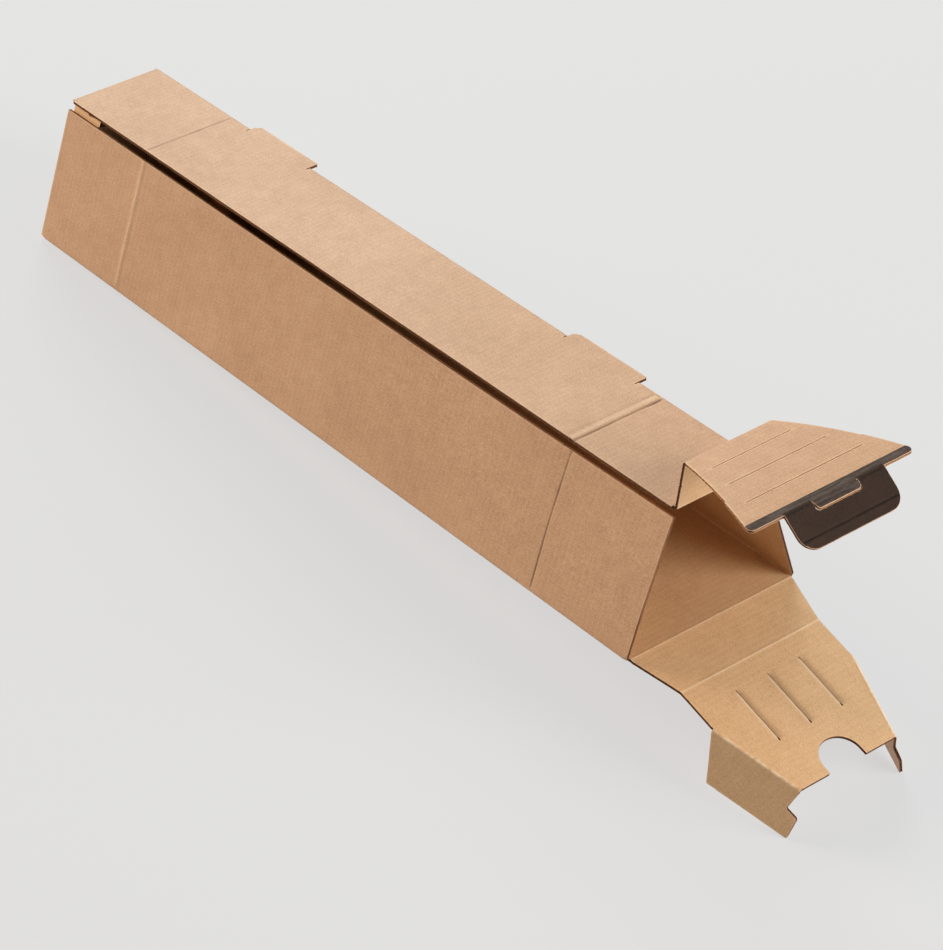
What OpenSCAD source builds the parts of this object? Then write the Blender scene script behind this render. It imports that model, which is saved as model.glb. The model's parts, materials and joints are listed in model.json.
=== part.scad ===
// Trapezoid shipping box, folded from one sheet of corrugated board.
// The far end is closed: its flaps are turned in and stand as a recessed end wall.
// The near end is open: its upper flap stands up and out, and its lower flap hangs
// down with two folded wings, which prop the near end up from the ground.
// Lengths are in millimetres. The ground is z = 0, and the box runs along X.

/* [Board] */
// Thickness of the corrugated board
board = 1.6; // [1.2:0.1:3]
// Outer radius of a long fold of the sleeve
fold_radius = 2.2; // [2:0.1:5]
// Room between two layers of board that lie on each other
layer_gap = 0.2; // [0.1:0.05:0.6]
// Room round a fold that moves
fold_gap = 0.1; // [0.05:0.05:0.3]

/* [Sleeve] */
// Length of the sleeve
sleeve_length = 486; // [250:1:900]
// Outer width of the base panel
base_width = 108.5; // [100:0.5:160]
// Outer width of the top panel
top_width = 57; // [50:0.5:80]
// Outer height of the sleeve
sleeve_height = 78; // [76:0.5:120]
// Open slit between the top panel's front edge and the front panel, along the slope
slit_gap = 5.5; // [4:0.1:9]
// Bevel on the corners of the top panel
corner_cut = 2.5; // [1:0.1:5]

/* [Lock tabs] */
// Length of each lock tab on the back edge of the top panel
tab_length = 52; // [20:1:90]
// How far a lock tab stands out past the back edge
tab_reach = 5.2; // [3:0.1:9]
// Distance between the middles of the two lock tabs
tab_spread = 260; // [110:1:400]
// Bevel on the far end of a lock tab
tab_bevel = 3; // [1:0.1:3]
// Cut line round a lock tab
tab_kerf = 0.4; // [0.2:0.1:1]

/* [Pressed lines] */
// Distance of the pressed lines from each end of the sleeve
crease_inset = 71; // [45:1:110]
// Radius of the rule that presses a line
crease_rule = 1.3; // [0.8:0.1:2]
// Depth of a pressed line
crease_depth = 0.35; // [0.1:0.05:0.6]
// Distance between the two lines of the near pair on the top panel
crease_pair = 5; // [3:0.5:10]

/* [Upper flap] */
// Length of the riser, which is also the depth of the closed end's recess
riser_length = 26; // [20:0.5:40]
// Width of the riser
riser_width = 54; // [40:0.5:54]
// Length of the end wall past the riser
lid_wall_length = 68.3; // [60:0.1:69]
// Width of the end wall at its tip
lid_wall_tip = 102; // [80:0.5:102]
// Radius of the end wall's tip corners
lid_wall_round = 3; // [1:0.5:6]
// Distance from the fold to the small step in the sides
lid_step_at = 42.5; // [36:0.5:47]
// Width of that step on each side
lid_step = 1; // [0.5:0.1:2]
// Distance from the fold to the first slit
lid_slit_first = 15.3; // [10:0.1:16]
// Distance from one slit to the next
lid_slit_pitch = 17.2; // [12:0.1:20]
// Number of slits across the end wall
lid_slits = 3; // [1:1:3]
// Board left between a slit and the side of the wall
lid_slit_margin = 8; // [5:0.5:14]
// Width of a slit
slit_width = 0.8; // [0.4:0.1:1.5]
// How far the end wall arches up between its folds
lid_wall_bow = 2.2; // [0.5:0.1:4]

/* [Pull tongue] */
// Width of the tongue
tongue_width = 61; // [45:0.5:75]
// Length of the tongue
tongue_length = 19; // [15:0.5:21]
// Radius of the tongue's corners
tongue_round = 8.5; // [3:0.5:9]
// Distance from the tongue's end to its pressed line
tongue_band = 5.5; // [4:0.5:8]
// Width of the lip that stays in the plane of the end wall
lip_width = 27; // [15:0.5:36]
// How far the lip stands out past the fold
lip_reach = 4; // [2.5:0.1:6]
// Radius of the lip's corners
lip_round = 2; // [1:0.1:2.4]
// Cut line round the lip
lip_kerf = 0.6; // [0.5:0.1:1]

/* [Lower flap] */
// Width of the lower riser at its tip
base_riser_tip = 88; // [76:0.5:98]
// Length of the lower end wall
base_wall_length = 70.8; // [62:0.1:72]
// Width of the lower end wall at its tip
base_wall_tip = 59.2; // [44:0.2:64]
// Distance from the fold to the start of the wings
wing_start = 22.5; // [16:0.5:28]
// Radius of the thumb notch
notch_radius = 11.4; // [6:0.2:15]
// Distance from the wall's tip to the middle of the thumb notch
notch_inset = 4.3; // [0:0.1:6]
// Distance from the fold to the start of the three long slits
base_slit_from = 12; // [8:0.5:20]
// Length of the three long slits
base_slit_length = 32.5; // [15:0.5:38]
// Distance from one long slit to the next
base_slit_pitch = 20; // [10:0.5:24]

/* [Wings] */
// Depth of a wing from its fold
wing_depth = 24.5; // [18:0.5:25]
// How far a wing's lower edge starts past its fold's start
wing_lead = 10.5; // [4:0.5:16]
// How far the hook stands out past the fold's end
hook_reach = 5.2; // [3:0.1:6]
// Depth at which the hook starts
hook_from = 12.5; // [9:0.5:14]
// How far the neck above the hook is cut back from the fold's end
neck_cut = 1.6; // [1:0.1:3]
// How far a closed wing's shoulder stands above the end of its fold
closed_shoulder = 5; // [0:0.1:5.2]
// Radius of the hook's corner
hook_round = 2; // [1:0.1:3]

/* [Pose] */
// Slope of the standing riser above the sleeve's length
riser_angle = 81.6; // [60:0.1:100]
// Slope of the end wall above the sleeve's length
lid_wall_angle = 8.6; // [0:0.1:20]
// Slope of the tongue below the sleeve's length
tongue_drop = 38; // [20:0.5:60]
// Slope of the lower riser below the sleeve's length
base_riser_drop = 12.7; // [6:0.1:16]
// Slope of the lower end wall below the sleeve's length
base_wall_drop = 18; // [12:0.1:24]
// Fold of each wing below the lower end wall
wing_fold = 70; // [50:1:85]

/* [Hidden] */

kraft = "#c39a72";
kraft_inside = "#d4ac80";
brown_print = "#473a34";

arc_steps = 6;
bead_steps = 14;
bow_steps = 16;
bead_overlap = 8;
past = 1;
$fn = 48;

// The slanted sides
lean = atan((base_width - top_width) / 2 / sleeve_height);
side_height = sleeve_height / cos(lean);

// The folded-in layers of the closed end
turn_radius = board + layer_gap / 2;
layer_top = 2 * board + layer_gap;
base_riser_root = base_width - 2 * fold_radius;
base_riser_length = riser_length + layer_gap + board;
far_tongue_slope = 9;

// The lip, and the slope of the arched end wall at its folds
lip_half = lip_width / 2;
arch_slope = atan(4 * lid_wall_bow / lid_wall_length);

// The wings' fold lines on the lower end wall
wing_root_half = base_riser_tip / 2;
wing_tip_half = base_wall_tip / 2;
wing_run = base_wall_length - wing_start;
wing_turn = atan((wing_root_half - wing_tip_half) / wing_run);
wing_fold_length = wing_run / cos(wing_turn);

// The hinge lines of the flaps, as [x, z] in the sleeve's own frame
lid_hinge = [sleeve_length, sleeve_height];
lid_fold = lid_hinge + turned([riser_length, -board], riser_angle);
tongue_fold = lid_fold + turned([lid_wall_length, 0], lid_wall_angle);
base_hinge = [sleeve_length, 0];
base_fold = base_hinge + turned([base_riser_length, 0], -base_riser_drop);

// The slope at which the wings' corners and the sleeve's far edge stand on the ground
wing_rim = [for (p = wing_points(), face = [0, board]) on_wing(p[0], -p[1], face)];
prop_angle = max([for (p = wing_rim) atan2(-p[1], p[0])]);

// The middle of the propped box along X
far_x = turn_radius * cos(prop_angle) - (sleeve_height - turn_radius) * sin(prop_angle) - turn_radius;
near_x = max([for (p = wing_rim) turned(p, prop_angle)[0]]);
middle_x = (far_x + near_x) / 2;

function unit(v) = v / norm(v);

function turned(p, angle) = [p[0] * cos(angle) - p[1] * sin(angle), p[0] * sin(angle) + p[1] * cos(angle)];

// Half width of the sleeve at a height, a given depth of board inside its outer face
function half_width(height, depth = 0) = base_width / 2 - height * tan(lean) - depth / cos(lean);

// Half width of the upper end wall at a distance from its fold, without the step
function lid_half(along) = (riser_width + (lid_wall_tip - 2 * lid_step - riser_width) * along / lid_wall_length) / 2;

// Rise of the arched end wall at a distance from its fold
function arch(along) = 4 * lid_wall_bow * along * (lid_wall_length - along) / pow(lid_wall_length, 2);

// A point of a wing as [x, z] in the sleeve's frame: along its fold, down its depth, out of its face
function on_wing(along, depth, out = 0) =
    let (
        sideways = depth * cos(wing_fold) + out * sin(wing_fold),
        lift = out * cos(wing_fold) - depth * sin(wing_fold),
        reach = wing_start + along * cos(wing_turn) + sideways * sin(wing_turn)
    )
    base_fold + turned([reach, lift], -base_wall_drop);

// The arc that rounds one corner of an outline
function corner_arc(before, corner, after, radius) =
    let (
        to_before = unit(before - corner),
        to_after = unit(after - corner),
        half_angle = acos(to_before * to_after) / 2,
        centre = corner + unit(to_before + to_after) * radius / sin(half_angle),
        start = corner + to_before * radius / tan(half_angle) - centre,
        finish = corner + to_after * radius / tan(half_angle) - centre,
        from = atan2(start[1], start[0]),
        turn = (atan2(finish[1], finish[0]) - from + 540) % 360 - 180
    )
    [for (i = [0 : arc_steps]) centre + turned([radius, 0], from + turn * i / arc_steps)];

// An outline from corners that are each [x, y, radius]
function outline(corners) =
    let (
        last = len(corners) - 1,
        points = [for (c = corners) [c[0], c[1]]]
    )
    [for (i = [0 : last])
        each corners[i][2] > 0
            ? corner_arc(points[i == 0 ? last : i - 1], points[i], points[i == last ? 0 : i + 1], corners[i][2])
            : [points[i]]];

// Outline of a wing: X along its fold, Y against its depth, with the hook at the tip
function wing_points(rise = 0) =
    let (
        shoulder = wing_fold_length + rise,
        hook_tip = wing_fold_length + hook_reach
    )
    outline([
        [past, 0, 0],
        [shoulder - fold_gap, 0, 0],
        [shoulder - neck_cut, neck_cut - hook_from, neck_cut / 2],
        [hook_tip, -hook_from, hook_round],
        [hook_tip, -wing_depth, hook_round / 2],
        [wing_lead, -wing_depth, hook_round / 2]
    ]);

// A list of corners and its mirror image across the middle line, as one ring
function both_sides(corners) = concat(
    corners,
    [for (i = [len(corners) - 1 : -1 : 0]) [corners[i][0], -corners[i][1], corners[i][2]]]
);

// The propped place of the whole box
module propped() {
    translate([-middle_x, 0, 0]) rotate([0, -prop_angle, 0]) children();
}

// A flap's own frame: X along the flap, Y across it, Z out of its face
module on_fold(place, angle) {
    translate([place[0], 0, place[1]]) rotate([0, -angle, 0]) children();
}

// A profile in X and Z, run across the box
module across(width) {
    rotate([90, 0, 0]) linear_extrude(width, center = true) children();
}

// The round of board on the outside of a fold that lies along Y
module fold_bead(width, from, to) {
    steps = [for (i = [0 : bead_steps]) from + (to - from) * i / bead_steps];
    across(width) polygon(concat([[0, 0]], [for (a = steps) turned([board, 0], a)]));
}

// Room for that round in the flap that turns about it
module fold_room(width) {
    rotate([90, 0, 0]) cylinder(r = board + fold_gap, h = width + 2 * past, center = true);
}

// Section of the sleeve in Y and Z, open along the slit
module sleeve_section() {
    inner_radius = fold_radius - board;
    top_half = top_width / 2;
    lip_height = (side_height - slit_gap) * cos(lean);
    lip_inner = lip_height - board * sin(lean);
    ceiling = sleeve_height - board;
    polygon(outline([
        [-top_half, sleeve_height, 0],
        [top_half, sleeve_height, fold_radius],
        [base_width / 2, 0, fold_radius],
        [-base_width / 2, 0, fold_radius],
        [-half_width(lip_height), lip_height, 0],
        [-half_width(lip_inner, board), lip_inner, 0],
        [-half_width(board, board), board, inner_radius],
        [half_width(board, board), board, inner_radius],
        [half_width(ceiling, board), ceiling, inner_radius],
        [-top_half, ceiling, 0]
    ]));
}

// Windows in the back panel that the lock tabs are cut from
module tab_window(middle) {
    sill = sleeve_height - (tab_reach + tab_kerf) * cos(lean);
    inside = top_width / 2 - fold_radius - past;
    outside = base_width / 2;
    length = tab_length + 2 * tab_kerf;
    translate([middle - length / 2, inside, sill])
        cube([length, outside - inside, sleeve_height + past - sill]);
}

// A lock tab, in the plane of the top panel
module lock_tab(middle) {
    inside = top_width / 2 - fold_radius - 2 * past;
    tip = top_width / 2 + tab_reach;
    from = middle - tab_length / 2;
    to = middle + tab_length / 2;
    translate([0, 0, sleeve_height - board])
        linear_extrude(board)
            polygon([[from, inside], [to, inside], [to, tip], [from + tab_bevel, tip], [from, tip - tab_bevel]]);
}

// A line pressed across the top panel
module top_crease(at) {
    translate([at, 0, sleeve_height + crease_rule - crease_depth])
        rotate([90, 0, 0])
            cylinder(r = crease_rule, h = top_width + 4 * tab_reach, center = true);
}

// The front panel's own frame: X along the sleeve, Y up the slope, Z out of its outer face
module on_front() {
    translate([0, -base_width / 2, 0]) rotate([90 - lean, 0, 0]) children();
}

// A line pressed up the front panel
module front_crease(at) {
    on_front() translate([at, 0, crease_rule - crease_depth])
        rotate([-90, 0, 0])
            cylinder(r = crease_rule, h = side_height);
}

// Bevels on the corners of the top panel
module top_corner_cuts() {
    for (end = [0, sleeve_length], side = [-1, 1])
        translate([end, side * top_width / 2, sleeve_height - board - past])
            rotate([0, 0, 45])
                cube([corner_cut * sqrt(2), corner_cut * sqrt(2), 4 * board], center = true);
}

// A layer of board turned in over itself at the far end, tapering from root to tip
module turned_layer(root, tip, length) {
    half_turn = [for (i = [0 : bead_steps]) 270 - 180 * i / bead_steps];
    middle = [turn_radius, turn_radius];
    intersection() {
        across(root) polygon(concat(
            [for (a = half_turn) middle + turned([turn_radius, 0], a)],
            [[length, layer_top], [length, layer_top - board]],
            [for (i = [bead_steps : -1 : 0]) middle + turned([layer_gap / 2, 0], half_turn[i])]
        ));
        translate([0, 0, -past])
            linear_extrude(layer_top + 2 * past)
                polygon([[-past, -root / 2], [0, -root / 2], [length, -tip / 2], [length + past, -tip / 2],
                         [length + past, tip / 2], [length, tip / 2], [0, root / 2], [-past, root / 2]]);
    }
}

// Outline of the upper end wall with its lip, in X along and Y across
module lid_wall_outline() {
    step_half = lid_half(lid_step_at);
    polygon(outline(both_sides([
        [0, -riser_width / 2, 0],
        [lid_step_at, -step_half, 0],
        [lid_step_at + lid_step, -step_half - lid_step, 0],
        [lid_wall_length, -lid_wall_tip / 2, lid_wall_round],
        [lid_wall_length, -lip_half, 0],
        [lid_wall_length + lip_reach, -lip_half, lip_round]
    ])));
}

// Slits across the upper end wall
module lid_wall_slits() {
    for (i = [0 : lid_slits - 1]) {
        at = lid_slit_first + i * lid_slit_pitch;
        slit_half = lid_half(at) - lid_slit_margin;
        translate([at - slit_width / 2, -slit_half]) square([slit_width, 2 * slit_half]);
    }
}

// The upper end wall cut flat
module lid_wall_cut() {
    difference() {
        lid_wall_outline();
        lid_wall_slits();
    }
}

// Outline of the tongue with the gap that its lip leaves
module tongue_outline() {
    half = tongue_width / 2;
    gap_half = lip_half + lip_kerf;
    gap_end = lip_reach + lip_kerf;
    polygon(outline(both_sides([
        [gap_end, -gap_half, lip_round],
        [0, -gap_half, 0],
        [0, -half, 0],
        [tongue_length, -half, tongue_round]
    ])));
}

// The lower end wall cut flat, with its thumb notch and long slits
module base_wall_cut() {
    difference() {
        polygon([for (c = both_sides([
            [0, -wing_root_half, 0],
            [wing_start, -wing_root_half, 0],
            [base_wall_length, -wing_tip_half, 0]
        ])) [c[0], c[1]]]);
        translate([base_wall_length - notch_inset, 0]) circle(r = notch_radius);
        translate([base_wall_length - notch_inset, -notch_radius]) square([notch_inset + past, 2 * notch_radius]);
        for (i = [-1 : 1])
            translate([base_slit_from, i * base_slit_pitch - slit_width / 2]) square([base_slit_length, slit_width]);
    }
}

// The near front wing's frame on the lower end wall, or its mirror image at the back
module on_wing_fold(side) {
    on_fold(base_fold, -base_wall_drop)
        mirror([0, side > 0 ? 1 : 0, 0])
            translate([wing_start, -wing_root_half, 0]) rotate([0, 0, wing_turn]) children();
}

// The round of board on the outside of a wing's fold
module wing_bead(side) {
    from = 90 - bead_overlap;
    to = 180 + wing_fold;
    steps = [for (i = [0 : bead_steps]) from + (to - from) * i / bead_steps];
    on_wing_fold(side)
        translate([past, 0, 0]) rotate([90, 0, 90])
            linear_extrude(wing_fold_length - 2 * past)
                polygon(concat([[0, 0]], [for (a = steps) turned([board, 0], a)]));
}

// The closed end: both flaps turned in, the walls standing one behind the other
module closed_end() {
    wall_top = sleeve_height - board - layer_gap;
    wall_foot = wall_top - lid_wall_length;
    translate([0, 0, sleeve_height]) mirror([0, 0, 1]) turned_layer(riser_width, riser_width, riser_length);
    turned_layer(base_riser_root, base_riser_tip, base_riser_length);
    translate([riser_length, 0, wall_top]) rotate([0, 90, 0]) translate([0, 0, -board])
        linear_extrude(board) lid_wall_cut();
    translate([riser_length - board / 2, 0, wall_foot]) rotate([0, far_tongue_slope, 180])
        linear_extrude(board) tongue_outline();
    translate([riser_length + layer_gap, 0, layer_top - board]) rotate([0, -90, 0]) translate([0, 0, -board])
        linear_extrude(board) base_wall_cut();
    for (side = [0, 1])
        mirror([0, side, 0]) closed_wing();
}

// A wing of the closed end, out along the inside of a slanted side, its hook in the slit
module closed_wing() {
    start = (layer_top - board + wing_start) / cos(lean);
    fold_at = riser_length + layer_gap + board / 2;
    on_front() translate([fold_at, start, -layer_top])
        mirror([1, 0, 0]) rotate([0, 0, 90])
            linear_extrude(board) polygon(wing_points(closed_shoulder));
}

module sleeve() {
    color(kraft) propped() {
        difference() {
            rotate([90, 0, 90]) linear_extrude(sleeve_length) sleeve_section();
            for (end = [-1, 1]) tab_window(sleeve_length / 2 + end * tab_spread / 2);
            top_crease(crease_inset);
            for (pair = [-0.5, 0.5]) top_crease(sleeve_length - crease_inset + pair * crease_pair);
            for (at = [crease_inset, sleeve_length - crease_inset]) front_crease(at);
            top_corner_cuts();
            translate([-past, -riser_width / 2, sleeve_height - board - layer_gap / 2])
                cube([turn_radius + past, riser_width, board + past]);
            translate([-past, -base_riser_root / 2, -past])
                cube([turn_radius + past, base_riser_root, board + layer_gap / 2 + past]);
        }
        for (end = [-1, 1]) lock_tab(sleeve_length / 2 + end * tab_spread / 2);
        closed_end();
        on_fold(lid_hinge, 0) fold_bead(riser_width, -90 - bead_overlap, riser_angle);
        on_fold(base_hinge, 0) fold_bead(base_riser_root, 90 + bead_overlap, -base_riser_drop);
    }
}

module lid_riser() {
    color(kraft_inside) propped() on_fold(lid_hinge, riser_angle) {
        difference() {
            translate([0, -riser_width / 2, -board]) cube([riser_length, riser_width, board]);
            fold_room(riser_width);
        }
        translate([riser_length, 0, -board])
            fold_bead(riser_width, 90 + bead_overlap, lid_wall_angle + arch_slope - riser_angle);
    }
}

module lid_end_wall() {
    stations = [for (i = [0 : bow_steps]) lid_wall_length * i / bow_steps];
    tip = [lid_wall_length, 0] + turned([lip_reach + past, 0], -arch_slope);
    half_bead = tongue_width / 2 - lip_half - lip_kerf;
    color(kraft) propped() on_fold(lid_fold, lid_wall_angle) {
        difference() {
            intersection() {
                across(lid_wall_tip + 2 * past) polygon(concat(
                    [for (s = stations) [s, arch(s)]],
                    [tip, tip + [0, board]],
                    [for (i = [bow_steps : -1 : 0]) [stations[i], arch(stations[i]) + board]]
                ));
                translate([0, 0, -lid_wall_length / 2]) linear_extrude(lid_wall_length) lid_wall_cut();
            }
            fold_room(riser_width);
        }
        for (side = [-1, 1])
            translate([lid_wall_length, side * (tongue_width - half_bead) / 2, 0])
                fold_bead(half_bead, 90 + bead_overlap, -tongue_drop - lid_wall_angle);
    }
}

module pull_tongue() {
    color(brown_print) propped() on_fold(tongue_fold, -tongue_drop) {
        difference() {
            linear_extrude(board) tongue_outline();
            fold_room(tongue_width);
            translate([tongue_length - tongue_band, 0, board + crease_rule - crease_depth])
                rotate([90, 0, 0]) cylinder(r = crease_rule, h = tongue_width + 2 * past, center = true);
        }
    }
}

module base_riser() {
    color(kraft_inside) propped() on_fold(base_hinge, -base_riser_drop) {
        difference() {
            linear_extrude(board)
                polygon([[0, -base_riser_root / 2], [base_riser_length, -base_riser_tip / 2],
                         [base_riser_length, base_riser_tip / 2], [0, base_riser_root / 2]]);
            fold_room(base_riser_root);
        }
        translate([base_riser_length, 0, 0])
            fold_bead(base_riser_tip, 90 + bead_overlap, base_riser_drop - base_wall_drop);
    }
}

module base_end_wall() {
    color(kraft_inside) propped() {
        on_fold(base_fold, -base_wall_drop) difference() {
            linear_extrude(board) base_wall_cut();
            fold_room(base_riser_tip);
        }
        for (side = [-1, 1]) wing_bead(side);
    }
}

// A wing folded down from the lower end wall
module wing(side) {
    color(kraft) propped() on_wing_fold(side) rotate([wing_fold, 0, 0]) difference() {
        linear_extrude(board) polygon(wing_points());
        rotate([0, 90, 0]) translate([0, 0, -past])
            cylinder(r = board + fold_gap, h = wing_fold_length + 2 * past);
    }
}

module front_wing() {
    wing(-1);
}

module back_wing() {
    wing(1);
}

sleeve();
lid_riser();
lid_end_wall();
pull_tongue();
base_riser();
base_end_wall();
front_wing();
back_wing();
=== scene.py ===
"""A trapezoid shipping box folded from one sheet of corrugated board, its near end standing open."""
import json
import math

import bpy
import numpy as np
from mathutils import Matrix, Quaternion, Vector, noise
from mathutils.geometry import delaunay_2d_cdt
from mathutils.kdtree import KDTree


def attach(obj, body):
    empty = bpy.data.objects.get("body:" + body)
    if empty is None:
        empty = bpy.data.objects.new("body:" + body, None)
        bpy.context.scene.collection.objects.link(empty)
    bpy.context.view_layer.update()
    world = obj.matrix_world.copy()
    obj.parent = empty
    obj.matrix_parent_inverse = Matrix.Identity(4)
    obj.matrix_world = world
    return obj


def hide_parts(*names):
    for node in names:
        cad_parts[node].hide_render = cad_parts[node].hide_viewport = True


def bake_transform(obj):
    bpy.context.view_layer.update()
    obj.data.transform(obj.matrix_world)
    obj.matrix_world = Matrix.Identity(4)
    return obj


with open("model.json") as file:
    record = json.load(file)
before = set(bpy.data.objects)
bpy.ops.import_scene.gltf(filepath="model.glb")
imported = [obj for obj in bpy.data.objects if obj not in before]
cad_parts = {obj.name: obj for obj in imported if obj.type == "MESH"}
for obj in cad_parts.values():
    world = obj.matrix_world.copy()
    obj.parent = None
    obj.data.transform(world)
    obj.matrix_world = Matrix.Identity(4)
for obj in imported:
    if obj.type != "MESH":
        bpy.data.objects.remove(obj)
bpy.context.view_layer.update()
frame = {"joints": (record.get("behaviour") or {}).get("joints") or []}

# The board, in millimetres
BOARD = 1.6
FLUTE_PITCH = 3.4
LINER = 0.3
LINER_FRAY = 0.08
CHAMFER = 0.12
CUT_HOLLOW = 0.22
LEAD = 1.5
CREASE_RADIUS = 0.08
EDGE_WANDER = 0.06
WING_WANDER = 0.12
WORN_RIM = 1.3
TOUCH = 1e-4

# The sleeve
LENGTH = 486.0
BASE_WIDTH = 108.5
TOP_WIDTH = 57.0
HEIGHT = 78.0
FOLD_RADIUS = 2.2
SLIT_GAP = 5.5
CORNER_CUT = 2.5
HINGE_HALF_TOP = 26.9
CREASE_INSET = 71.0
LIP_LEAN = 2.8
LIP_LEAN_FROM = 0.45 * LENGTH
NEAR_CORNER = 0.8
NEAR_CORNER_STEP = 0.3
FOLD_NOTCH = 2.0
HEM_RADIUS = 0.1
LAYER_GAP = 0.2
NICK = 1.1
NICK_SHAPE = ((-0.7, 0), (-0.4, 0.8), (0.25, 1.0), (0.6, 0))
NICKS_TOP = (414.0, 437.0, 464.0, 300.0, 180.0)
NICKS_LIP = (410.0, 436.0, 462.0, 290.0, 172.0)

# The lock tabs
TAB_LENGTH = 52.0
TAB_REACH = 5.2
TAB_SPREAD = 260.0
TAB_BEVEL = 3.0
TAB_CORNER = 0.6
TAB_KERF = 0.4
TAB_SETBACK = 1.0

# The upper flap
RISER = 26.0
RISER_NICK_AT = 13.0
RISER_NICK = 0.5
LID_WALL = 68.3
LID_ROOT_HALF = 27.0
LID_TIP_HALF = 51.0
LID_STEP_AT = 42.5
LID_STEP = 1.0
LID_CORNER = 3.0
LID_SLITS = (15.3, 32.5, 49.7)
LID_SLIT_MARGIN = 8.0
LID_SLIT = 0.3
LID_SLIT_POINT = 0.5
LID_BOW = 2.2
STRIP_FROM = 63.2
TONGUE_HALF = 30.5
TONGUE = 19.0
TONGUE_ROUND = 8.5
TONGUE_BAND = 5.5
LIP_HALF = 13.5
LIP_REACH = 4.0
LIP_ROUND = 2.0
LIP_SIDE_GAP = 0.3
LIP_END_GAP = 0.1
LIP_CURL = 0.125

# The lower flap
BASE_RISER = 27.8
BASE_RISER_TIP_HALF = 44.0
BASE_WALL = 70.8
WALL_TIP_HALF = 29.6
NOTCH_RADIUS = 11.4
NOTCH_INSET = 4.3
NOTCH_CORNER = 0.4
BASE_SLITS = (-20.0, 0.0, 20.0)
BASE_SLIT_FROM = 12.0
BASE_SLIT = 32.5
BASE_SLIT_POINT = 0.4
BASE_SLIT_GAP = 0.16
BASE_SLIT_TORN = 0.7
BASE_SLIT_TEAR = (2.5, 0.7)
WING_START = 22.5
WING_DEPTH = 24.5
WING_SETBACK = 1.0
WING_LEAD = 10.5
WING_TRIM = 0.1
WING_CORNER = 1.0
HOOK_REACH = 5.2
HOOK_FROM = 12.5
HOOK_ROUND = 2.0
NECK_CUT = 1.6
NECK_ROUND = 0.8
CLOSED_SHOULDER = 5.0

# Slopes of the panels from the sleeve's length, in degrees
RISER_SLOPE = 81.6
LID_WALL_SLOPE = 8.6
TONGUE_SLOPE = -38.0
BASE_RISER_SLOPE = -12.7
BASE_WALL_SLOPE = -18.0
WING_FOLD = 70.0
FAR_TONGUE_SLOPE = 9.0

# Pressed lines: the height, the place and the width of each ridge or groove
TOP_NEAR_LINE = ((0.20, -0.3, 1.6), (-0.36, 2.4, 0.6), (-0.10, -2.9, 0.8))
TOP_FAR_LINE = ((-0.26, 0.0, 0.55),)
FRONT_NEAR_LINE = ((-0.34, 1.5, 0.5),)
FRONT_FAR_LINE = ((0.24, 0.0, 1.2), (-0.07, 2.2, 0.8))
TONGUE_LINE = ((-0.3, 0.0, 0.5), (0.12, 1.4, 0.9))

# Values that follow from the sizes
LEAN = math.atan((BASE_WIDTH - TOP_WIDTH) / 2 / HEIGHT)
SIDE = HEIGHT / math.cos(LEAN)
ARCH_SLOPE = math.degrees(math.atan(4 * LID_BOW / LID_WALL))
LIP_SLOT_HALF = LIP_HALF + LIP_SIDE_GAP
WING_TURN = math.atan((BASE_RISER_TIP_HALF - WALL_TIP_HALF) / (BASE_WALL - WING_START))
WING_LENGTH = (BASE_WALL - WING_START) / math.cos(WING_TURN)
WING_SLANT = (WING_LEAD - WING_SETBACK) / WING_DEPTH
HEM_OUTER = BOARD + HEM_RADIUS
LAYER_TOP = 2 * BOARD + LAYER_GAP
WALL_TOP = HEIGHT - BOARD - LAYER_GAP
FLUTE_TURN = 2 * math.pi / FLUTE_PITCH

hinge = {joint["name"]: 1000 * np.array(joint["pos_m"]) for joint in frame["joints"]}
standing = hinge["lid_riser_hinge"] - hinge["base_riser_hinge"]
PROP = math.atan2(-standing[0], standing[2])


# Places and folds


def toward(angle):
    return np.array((math.cos(angle), math.sin(angle)))


def leftward(angle):
    return np.array((-math.sin(angle), math.cos(angle)))


class Seat:
    """A place with three directions: along a panel, across it and out of its face."""

    def __init__(self, origin, along, across, out):
        self.origin = np.array(origin, float)
        self.turn = np.array((along, across, out), float)

    def at(self, a, b, c):
        return self.origin + np.stack(np.broadcast_arrays(a, b, c), -1) @ self.turn


def sloped(origin, slope):
    """A seat on the box's middle plane that rises at a slope, in degrees, from the sleeve's length."""
    angle = PROP + math.radians(slope)
    sine, cosine = math.sin(angle), math.cos(angle)
    return Seat(origin, (cosine, 0, sine), (0, 1, 0), (-sine, 0, cosine))


def in_seat(seat, origin, along, across, out):
    """A seat given in another seat's own directions."""
    return Seat(seat.at(*origin), *(np.array(v) @ seat.turn for v in (along, across, out)))


def flat_on(seat, face, up):
    """Puts flat board on a seat: its inner face at a height, its outer face up or down from there."""
    return lambda u, v, w: seat.at(u, v, face + up * w)


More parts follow.
